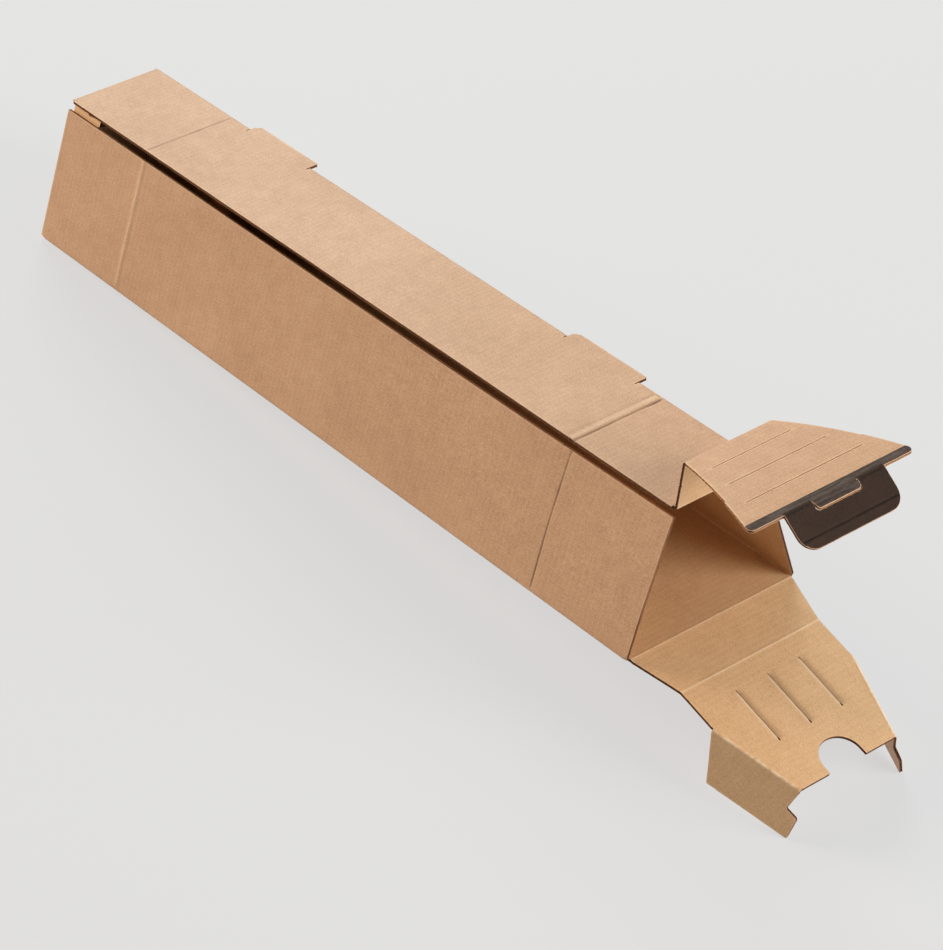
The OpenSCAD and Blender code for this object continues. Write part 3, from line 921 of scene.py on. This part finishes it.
def lid_slit(at):
    half, wide = lid_half(at) - LID_SLIT_MARGIN, LID_SLIT / 2
    side = [(-half, 0), (LID_SLIT_POINT - half, wide), (half - LID_SLIT_POINT, wide), (half, 0)]
    return pointed(side, at)[:, ::-1]


def lid_wall_rings(root, lead):
    """The upper end wall from its root, with a gap of a lead where the tongue's folds go."""
    step_half = lid_half(LID_STEP_AT)
    outline = rounded(both_sides([
        (root, -lid_half(root), 0),
        (LID_STEP_AT, -step_half, 0),
        (LID_STEP_AT + LID_STEP, -step_half - LID_STEP, 0),
        (LID_WALL, -LID_TIP_HALF, LID_CORNER),
        (LID_WALL, -TONGUE_HALF, 0),
        (LID_WALL - lead, -TONGUE_HALF, 0),
        (LID_WALL - lead, -LIP_SLOT_HALF, 0),
        (LID_WALL, -LIP_SLOT_HALF, 0),
        (LID_WALL, -LIP_HALF, 0),
        (LID_WALL + LIP_REACH, -LIP_HALF, LIP_ROUND),
    ]))
    return [outline, *map(lid_slit, LID_SLITS)]


def tongue_ring(root):
    return rounded(both_sides([
        (LIP_REACH + LIP_END_GAP, -LIP_SLOT_HALF, LIP_ROUND),
        (root, -LIP_SLOT_HALF, 0),
        (root, -TONGUE_HALF, 0),
        (TONGUE, -TONGUE_HALF, TONGUE_ROUND),
    ]))


def base_slit(across, torn):
    """A slit of the lower end wall, with its width where it is torn near its end."""
    end, thin = BASE_SLIT_FROM + BASE_SLIT, BASE_SLIT_GAP / 2
    side = [
        (BASE_SLIT_FROM, 0), (BASE_SLIT_FROM + BASE_SLIT_POINT, thin),
        (end - BASE_SLIT_TEAR[0], thin), (end - BASE_SLIT_TEAR[1], torn / 2), (end, 0),
    ]
    return pointed(side, across)


def base_wall_rings(root, lead, torn):
    """The lower end wall from its root, its wing folds cut back by a lead."""
    normal = lead * leftward(WING_TURN)
    notch = [(BASE_WALL - NOTCH_INSET - NOTCH_RADIUS * math.sin(a), -NOTCH_RADIUS * math.cos(a))
             for a in np.linspace(0, math.pi / 2, 14)]
    side = [
        (root, -BASE_RISER_TIP_HALF),
        (WING_START, -BASE_RISER_TIP_HALF),
        (WING_START + normal[0], -BASE_RISER_TIP_HALF + normal[1]),
        (BASE_WALL, -WALL_TIP_HALF + lead / math.cos(WING_TURN)),
        (BASE_WALL, -NOTCH_RADIUS - NOTCH_CORNER),
        (BASE_WALL - NOTCH_CORNER, -NOTCH_RADIUS),
        *notch[:-1],
    ]
    outline = np.array(side + [notch[-1]] + [(a, -b) for a, b in reversed(side)])
    return [outline, *(base_slit(across, torn) for across in BASE_SLITS)]


def wing_ring(root, rise):
    """A wing with its hook, along its fold and down its depth; its shoulder may pass the fold's end."""
    tip, shoulder = WING_LENGTH + HOOK_REACH, WING_LENGTH + rise
    return rounded([
        (WING_SETBACK + WING_SLANT * root, root, 0),
        (WING_LEAD, WING_DEPTH, WING_CORNER),
        (tip, WING_DEPTH, WING_CORNER),
        (tip, HOOK_FROM, HOOK_ROUND),
        (shoulder - NECK_CUT, HOOK_FROM - NECK_CUT, NECK_ROUND),
        (shoulder - WING_TRIM, root, 0),
    ])


def tongue_relief(u, v):
    """The pressed line above the tongue's end."""
    uneven = 1 + 0.5 * drift(u, v, 6.0, 9.0)
    return 0 * u, uneven * pressed_lines(TONGUE_LINE, u - (TONGUE - TONGUE_BAND))


tongue_rows = [[2.5, 5.5, 8.5, 10.5], TONGUE - TONGUE_BAND + np.arange(-1.5, 3.1, 0.35), [17.5]]
tongue_grid = grid(np.concatenate(tongue_rows), spread(-29, 29, 2.5))


# The near end's upper flap


def cross_fold(name, place, slopes, sides, blank, seed, ridge,
               hollow_out=False, flush=False, looks=()):
    """The round of board between two panels, across the box, made at the panels' given slopes.

    slopes are the panels' own, in degrees. sides gives the low and high edge across at the fold's start,
    after its turn and at its end. ridge is how deep the fold was pressed, hollow_out says that the outer
    face is on the hollow side, and flush that the strip's sides run on into the parent up to its turn."""
    heading = PROP + math.radians(slopes[0])
    turn = math.radians(slopes[1] - slopes[0])
    start = (place[0] - LEAD * math.cos(heading), place[2] - LEAD * math.sin(heading))
    bend = Bend(start, heading, 1 if turn > 0 else -1, fold_moves(abs(turn)))
    begin, end = bend.turns[0]
    at_ends = joined_past(0, bend.length)

    def put(u, v, w):
        x, z = bend.at(u, BOARD - w if hollow_out else w)
        return np.stack(np.broadcast_arrays(x, v, z), -1)

    def joined(mid):
        return at_ends(mid) | (mid[:, 0] < begin) & flush

    # The pressed fold line also gets painted shade on the outer face and painted highlight on the inner
    # one.
    def pressed(u, v):
        uneven = 1 + 0.35 * drift(u, v, 3.0, seed)
        return 0 * u, -ridge * uneven * bump_line(u - (begin + end) / 2, 0.5)

    lows, highs = zip(*sides)
    stations = (0, end, bend.length)
    low, high = ([(s, np.interp(s, stations, edge)) for s in bend.ticks] for edge in (lows, highs))
    bottom, top = min(lows), max(highs)
    rows = np.unique(np.round(np.concatenate([bend.ticks[1:-1], spread(0.3, bend.length - 0.3, 0.2)]), 4))
    strip = make_board(
        name, [low + high[::-1]], put, blank, grid(rows, spread(bottom + 2, top - 2, 2.5)),
        joined, pressed, wander=0.0, seed=seed, rim=0, drawn=bend.drawn_out(0, 4.0, scale=6))
    convex = 0 if hollow_out else BOARD
    ends = [put(s, (bottom + top) / 2, convex) / 1000 for s in (begin, end)]
    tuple(ends[0])
    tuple(ends[1])
    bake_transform(strip)
    dress(strip, *looks)


riser_seat = sloped(hinge["lid_riser_hinge"], RISER_SLOPE)
lid_wall_seat = sloped(hinge["lid_wall_fold"], LID_WALL_SLOPE)
tongue_seat = sloped(hinge["tongue_fold"], TONGUE_SLOPE)
riser_sides = (-HINGE_HALF_TOP, HINGE_HALF_TOP)


def along_top(offset):
    """Blank places of a panel of the upper flap that starts past the sleeve's end."""
    return lambda u, v: (LENGTH + offset + u, TOP_MIDDLE - v)


def lid_arch(u):
    """The height of the bowed upper end wall, and of its curled lip past its end."""
    inner = np.clip(u, 0, LID_WALL)
    rise = 4 * LID_BOW * inner * (LID_WALL - inner) / LID_WALL ** 2
    past = np.abs(u - inner)
    return rise - past * math.tan(math.radians(ARCH_SLOPE)) - LIP_CURL * past ** 2


def on_lid_wall(u, v, w):
    slope = np.arctan(4 * LID_BOW * (LID_WALL - 2 * np.clip(u, 0, LID_WALL)) / LID_WALL ** 2)
    return lid_wall_seat.at(u - w * np.sin(slope), v, lid_arch(u) + w * np.cos(slope))


cross_fold(
    "lid_hinge_fold", hinge["lid_riser_hinge"], (0, RISER_SLOPE),
    [riser_sides] * 3, along_top(-LEAD), seed=21.0, ridge=0.3, hollow_out=True, flush=True)

riser_outline = [
    (LEAD, -HINGE_HALF_TOP), (RISER_NICK_AT - 0.4, -HINGE_HALF_TOP),
    (RISER_NICK_AT, RISER_NICK - HINGE_HALF_TOP), (RISER_NICK_AT + 0.5, -HINGE_HALF_TOP),
    (RISER - LEAD, -HINGE_HALF_TOP), (RISER - LEAD, HINGE_HALF_TOP), (LEAD, HINGE_HALF_TOP),
]
lid_riser = make_board(
    "lid_riser", [riser_outline], flat_on(riser_seat, -BOARD, 1), along_top(0),
    field(3.5, RISER - 3.5, 25), joined_past(LEAD, RISER - LEAD), seed=22.0)
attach(dress(lid_riser), "lid_riser")
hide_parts("lid_riser")

cross_fold(
    "lid_wall_fold", hinge["lid_wall_fold"],
    (RISER_SLOPE, LID_WALL_SLOPE + ARCH_SLOPE),
    [riser_sides, riser_sides, (-lid_half(LEAD), lid_half(LEAD))],
    along_top(RISER - LEAD), seed=23.0, ridge=0.08)


def lid_wall_joined(mid):
    u, v = mid[:, 0], np.abs(mid[:, 1])
    in_gap = (u > LID_WALL - LEAD - TOUCH) & (u < LID_WALL - TOUCH)
    return (u < LEAD + TOUCH) | in_gap & (v > LIP_HALF) & (v < TONGUE_HALF + TOUCH)


lid_end_wall = make_board(
    "lid_end_wall", lid_wall_rings(LEAD, LEAD), on_lid_wall, along_top(RISER),
    field(3, LID_WALL + 2, LID_TIP_HALF - 2, u_step=2.5), lid_wall_joined, step=2.0, seed=24.0)
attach(dress(lid_end_wall, tip_print, pale_edge), "lid_end_wall")
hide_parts("lid_end_wall")

tongue_looks = (tongue_print, pale_edge, "brown_print")
tongue_sides = {"front": (-TONGUE_HALF, -LIP_SLOT_HALF), "back": (LIP_SLOT_HALF, TONGUE_HALF)}
for side_name, edges in tongue_sides.items():
    cross_fold(
        f"tongue_fold_{side_name}", hinge["tongue_fold"],
        (LID_WALL_SLOPE - ARCH_SLOPE, TONGUE_SLOPE), [edges] * 3, along_top(RISER + LID_WALL - LEAD),
        seed=25.0, ridge=0.22, flush=True, looks=tongue_looks)

pull_tongue = make_board(
    "pull_tongue", [tongue_ring(LEAD)], flat_on(tongue_seat, 0, 1), along_top(RISER + LID_WALL),
    tongue_grid, joined_past(LEAD), tongue_relief, step=2.0, seed=26.0)
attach(dress(pull_tongue, *tongue_looks), "pull_tongue")
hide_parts("pull_tongue")


# The near end's lower flap

base_riser_seat = sloped(hinge["base_riser_hinge"], BASE_RISER_SLOPE)
base_wall_seat = sloped(hinge["base_wall_fold"], BASE_WALL_SLOPE)
base_wall_sides = (-BASE_RISER_TIP_HALF, BASE_RISER_TIP_HALF)
BASE_RISER_TAPER = (BASE_RISER_TIP_HALF - base_half) / (BASE_RISER - LEAD)
BASE_RISER_END_HALF = base_half + BASE_RISER_TAPER * (BASE_RISER - 2 * LEAD)


def along_base(offset):
    """Blank places of a panel of the lower flap that starts past the sleeve's end."""
    return lambda u, v: (LENGTH + offset + u, base_middle + v)


cross_fold(
    "base_hinge_fold", hinge["base_riser_hinge"], (0, BASE_RISER_SLOPE),
    [(-base_half, base_half)] * 3, along_base(-LEAD), seed=31.0, ridge=0.2, hollow_out=True, flush=True)

base_riser_outline = [
    (LEAD, -base_half), (BASE_RISER - LEAD, -BASE_RISER_END_HALF),
    (BASE_RISER - LEAD, BASE_RISER_END_HALF), (LEAD, base_half),
]
base_riser = make_board(
    "base_riser", [base_riser_outline], flat_on(base_riser_seat, BOARD, -1), along_base(0),
    field(3.5, BASE_RISER - 3.5, 50), joined_past(LEAD, BASE_RISER - LEAD), seed=32.0)
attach(dress(base_riser), "base_riser")
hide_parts("base_riser")

cross_fold(
    "base_wall_fold", hinge["base_wall_fold"],
    (BASE_RISER_SLOPE, BASE_WALL_SLOPE),
    [(-BASE_RISER_END_HALF, BASE_RISER_END_HALF), base_wall_sides, base_wall_sides],
    along_base(BASE_RISER - LEAD), seed=33.0, ridge=0.25, hollow_out=True)

wing_across = leftward(WING_TURN)
wing_along = toward(WING_TURN)


def base_wall_joined(mid):
    u, v = mid[:, 0], -np.abs(mid[:, 1])
    from_fold = (u - WING_START) * wing_across[0] + (v + BASE_RISER_TIP_HALF) * wing_across[1]
    folds = (u < BASE_WALL - TOUCH) & (from_fold < LEAD + TOUCH)
    free_side = (v < TOUCH - BASE_RISER_TIP_HALF) & (u < WING_START)
    return (u < LEAD + TOUCH) | folds & ~free_side


def base_wall_relief(u, v):
    """The slow warp of the wall, and the burr and the dip that its inner face has beside each slit."""
    warp = 0.35 * drift(u, v, 30.0, 12.0)
    warp = warp * ramp(u - LEAD, 8) * ramp(BASE_WALL - u, 8) * ramp(29 - np.abs(v), 8)
    beside = ramp(u - BASE_SLIT_FROM, 2) * ramp(BASE_SLIT_FROM + BASE_SLIT - u, 2)
    # On the inner face the burr gets painted highlight and the dip painted shade, through the board's
    # marks.
    burr = sum(bump_line(v - at + 0.5, 0.9) * (v < at) for at in BASE_SLITS)
    dip = sum(bump_line(v - at, 2.6) * (v > at) for at in BASE_SLITS)
    return warp, beside * (0.34 * dip - 0.36 * burr)


beside_slits = (-2.4, -1.5, -0.9, -0.45, 0.45, 0.8, 1.2, 1.7, 2.4, 3.4, 4.6)
slit_sides = grid(spread(10, 46, 1.5), [at + d for at in BASE_SLITS for d in beside_slits])
base_wall_field = field(3.5, BASE_WALL - 2, BASE_RISER_TIP_HALF - 2)
base_end_wall = make_board(
    "base_end_wall", base_wall_rings(LEAD, LEAD, BASE_SLIT_TORN), flat_on(base_wall_seat, BOARD, -1),
    along_base(BASE_RISER), np.concatenate([base_wall_field, slit_sides]), base_wall_joined,
    base_wall_relief, step=2.0, seed=34.0)
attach(dress(base_end_wall), "base_end_wall")
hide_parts("base_end_wall")


def make_wing(name, mirror):
    """A wing of the lower end wall and the round of its fold."""
    root = in_seat(
        base_wall_seat, (WING_START, -mirror * BASE_RISER_TIP_HALF, 0),
        (wing_along[0], mirror * wing_along[1], 0),
        (wing_across[0], mirror * wing_across[1], 0), (0, 0, 1))
    drop = math.radians(WING_FOLD)
    bend = Bend((-LEAD, 0), 0, -1, fold_moves(drop))
    begin, end = bend.turns[0]
    at_ends = joined_past(0, bend.length, axis=1)

    def blank(along, across):
        a, b = (np.outer(along, wing_along) - np.outer(across, wing_across)).T
        return LENGTH + BASE_RISER + WING_START + a, base_middle + mirror * (b - BASE_RISER_TIP_HALF)

    def on_fold(u, v, w):
        across, out = bend.at(v, BOARD - w)
        return root.at(u, -across, out)

    def near(s):
        slanted = np.interp(s, (begin, bend.length), (WING_SETBACK, WING_SETBACK + WING_SLANT * LEAD))
        return slanted if s > begin + TOUCH else 0.0

    def far(s):
        return WING_LENGTH + (LEAD - s) * math.tan(WING_TURN) if s < begin else WING_LENGTH - WING_TRIM

    def joined(mid):
        return at_ends(mid) | (mid[:, 1] < begin) & (mid[:, 0] < WING_SETBACK / 2)

    def ragged_ridge(u, v):
        # The crest gets painted highlight on the inner face and painted shade on the outer one.
        crest = np.sin(math.pi * ramp(v - begin, end - begin))
        return 0 * u, -crest * (0.35 + 0.5 * drift(u, v, 1.6, 5.0) + 0.4 * drift(u, v, 3.7, 8.0))

    outline = [(near(s), s) for s in bend.ticks] + [(far(s), s) for s in bend.ticks[::-1]]
    fold = make_board(
        name + "_fold", [outline], on_fold, lambda u, v: blank(u, v - LEAD),
        grid(np.arange(1.5, WING_LENGTH - 0.8, 0.8), bend.ticks[1:-1]), joined, ragged_ridge,
        wander=0.0, step=0.8, seed=41.0, rim=0, drawn=bend.drawn_out(1, 0.8))
    ends = [on_fold(WING_LENGTH / 2, s, 0.0) / 1000 for s in (begin, end)]
    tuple(ends[0])
    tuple(ends[1])
    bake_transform(fold)
    dress(fold)

    sine, cosine = math.sin(drop), math.cos(drop)
    face = in_seat(root, (0, 0, 0), (1, 0, 0), (0, -cosine, -sine), (0, -sine, cosine))
    wing = make_board(
        name, [wing_ring(LEAD, 0.0)], flat_on(face, BOARD, -1), blank,
        grid(spread(3, WING_LENGTH + 3, 4), spread(3.5, WING_DEPTH - 2, 4)),
        joined_past(LEAD, axis=1), wander=WING_WANDER, step=1.2, seed=42.0)
    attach(dress(wing), name)
    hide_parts(name)


make_wing("front_wing", 1)
make_wing("back_wing", -1)


# The closed far end: hems turned in, walls one behind the other, wings out along the sides


def make_hem(name, height, up, half, half_tip, length, sheet):
    """A layer of board turned in over the sleeve's end."""
    bend = Bend((HEM_OUTER, height - up * BOARD), math.pi, up, [
        (0, math.pi, HEM_RADIUS), (length - HEM_OUTER, 0, 0)])

    def put(u, v, w):
        x, z = bend.at(u, w)
        return sleeve.at(x, v, z)

    low = [(s, -np.interp(s, (0, bend.length), (half, half_tip))) for s in bend.ticks]
    high = [(s, -b) for s, b in low]
    rows = np.concatenate([bend.ticks[1:-1], spread(bend.turns[0][1] + 2, bend.length - 1.5, 4)])
    hem = make_board(
        name, [low + high[::-1]], put, sheet, grid(rows, spread(-half + 2, half - 2, 4)), joined_past(0),
        wander=0.0, step=4.0, seed=51.0, rim=0, drawn=bend.drawn_out(0, 4.0))
    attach(dress(hem), "sleeve")


make_hem("far_lid_hem", HEIGHT, 1, HINGE_HALF_TOP, HINGE_HALF_TOP, RISER,
         lambda u, v: (HEM_OUTER - u, TOP_MIDDLE - v))
make_hem("far_base_hem", 0.0, -1, base_half, BASE_RISER_TIP_HALF, BASE_RISER,
         lambda u, v: (HEM_OUTER - u, base_middle + v))

far_lid_seat = in_seat(sleeve, (RISER, 0, WALL_TOP), (0, 0, -1), (0, 1, 0), (-1, 0, 0))
far_lid_wall = make_board(
    "far_lid_wall", lid_wall_rings(0.0, 0.0), flat_on(far_lid_seat, 0, 1),
    lambda u, v: (RISER + u, TOP_MIDDLE - v), field(2, LID_WALL + 2, LID_TIP_HALF - 2), seed=61.0)
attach(dress(far_lid_wall, far_tip_print), "sleeve")

run, drop = toward(math.radians(FAR_TONGUE_SLOPE))
far_tongue_seat = in_seat(
    sleeve, (RISER - BOARD / 2, 0, WALL_TOP - LID_WALL), (-run, 0, -drop), (0, 1, 0), (-drop, 0, run))
far_tongue = make_board(
    "far_tongue", [tongue_ring(0.0)], flat_on(far_tongue_seat, 0, 1), along_top(RISER + LID_WALL),
    tongue_grid, never, tongue_relief, step=2.0, seed=62.0)
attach(dress(far_tongue, tongue_print, slot="brown_print"), "sleeve")

far_base_seat = in_seat(
    sleeve, (RISER + LAYER_GAP + BOARD, 0, LAYER_TOP - BOARD), (0, 0, 1), (0, 1, 0), (-1, 0, 0))
far_base_wall = make_board(
    "far_base_wall", base_wall_rings(0.0, 0.0, BASE_SLIT_GAP), flat_on(far_base_seat, 0, 1),
    along_base(BASE_RISER), field(2, BASE_WALL - 2, BASE_RISER_TIP_HALF - 2), seed=63.0)
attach(dress(far_base_wall), "sleeve")


def make_far_wing(name, mirror):
    """A wing turned out flat against the inside of a slanted side, its hook through the slit."""
    sine, cosine = math.sin(LEAN), math.cos(LEAN)
    up = np.array([0, mirror * sine, cosine])
    out = np.array([0, -mirror * cosine, sine])
    foot = np.array([RISER + LAYER_GAP + BOARD / 2, -mirror * BASE_WIDTH / 2, 0])
    rise = (LAYER_TOP - BOARD + WING_START) / cosine
    seat = in_seat(sleeve, foot + rise * up - LAYER_TOP * out, up, (-1, 0, 0), out)
    far_wing = make_board(
        name, [wing_ring(0.0, CLOSED_SHOULDER)], flat_on(seat, BOARD, -1), lambda u, v: (v, u),
        grid(spread(3, WING_LENGTH + 3, 4), spread(2, WING_DEPTH - 2, 4)),
        wander=WING_WANDER, step=1.5, seed=64.0)
    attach(dress(far_wing), "sleeve")


make_far_wing("far_front_wing", 1)
make_far_wing("far_back_wing", -1)


# The floor

FLOOR_SIZE = 12


def floor_finish():
    finish = Finish("pale floor")
    mottle = finish.cloud(finish.node("ShaderNodeNewGeometry", {}, {}, "Position"), 0.004, 3.0)
    colour = finish.mix(0.5 + 0.3 * mottle, FLOOR_DEEP, FLOOR_PALE)
    return finish.close(colour, 0.9 + 0.1 * mottle, 0.0, 0.1, glow=0.60)


bpy.ops.mesh.primitive_plane_add(size=FLOOR_SIZE)
floor = bpy.context.object
floor.name = "floor"
floor.data.materials.append(floor_finish())


# The light


def aimed(data, place, aim, roll=0.0):
    """A light or camera put in its place, facing its aim and rolled about that line."""
    made = bpy.data.objects.new(data.name, data)
    made.location = place
    made.rotation_mode = "QUATERNION"
    facing = (Vector(aim) - Vector(place)).to_track_quat("-Z", "Y")
    made.rotation_quaternion = facing @ Quaternion((0, 0, 1), roll)
    bpy.context.scene.collection.objects.link(made)
    return made


def soft_box(name, place, aim, size, watts, colour=(1, 1, 1)):
    light = bpy.data.lights.new(name, "AREA")
    light.shape = "DISK"
    light.size = size
    light.energy = watts
    light.color = colour
    aimed(light, place, aim)


soft_box("key light", (-1.5, 0.9, 1.15), aim=(-0.2, 0, 0.05), size=1.0, watts=26,
         colour=(0.82, 1.0, 1.03))
soft_box("front light", (-5.8, -2.7, 2.6), aim=(0, 0, 0.05), size=4.0, watts=640,
         colour=(1.0, 0.84, 0.67))
soft_box("side light", (2.0, 1.1, 0.95), aim=(0.2, 0, 0.08), size=1.8, watts=74)

WORLD_GLOW = 0.14
world = bpy.data.worlds.new("studio")
bpy.context.scene.world = world
world.use_nodes = True
sky = world.node_tree.nodes["Background"]
sky.inputs["Color"].default_value = (1, 1, 1, 1)
sky.inputs["Strength"].default_value = WORLD_GLOW


# The camera

EYE = (1.06204, -0.93992, 1.15408)
AIM = (0.01889, 0.0, 0.01314)
ROLL = math.radians(4.464)
SENSOR = 36
LENS = 135.693

camera = bpy.data.cameras.new("photo view")
camera.sensor_width = SENSOR
camera.lens = LENS
bpy.context.scene.camera = aimed(camera, EYE, AIM, ROLL)
bpy.context.scene.view_settings.view_transform = "Standard"
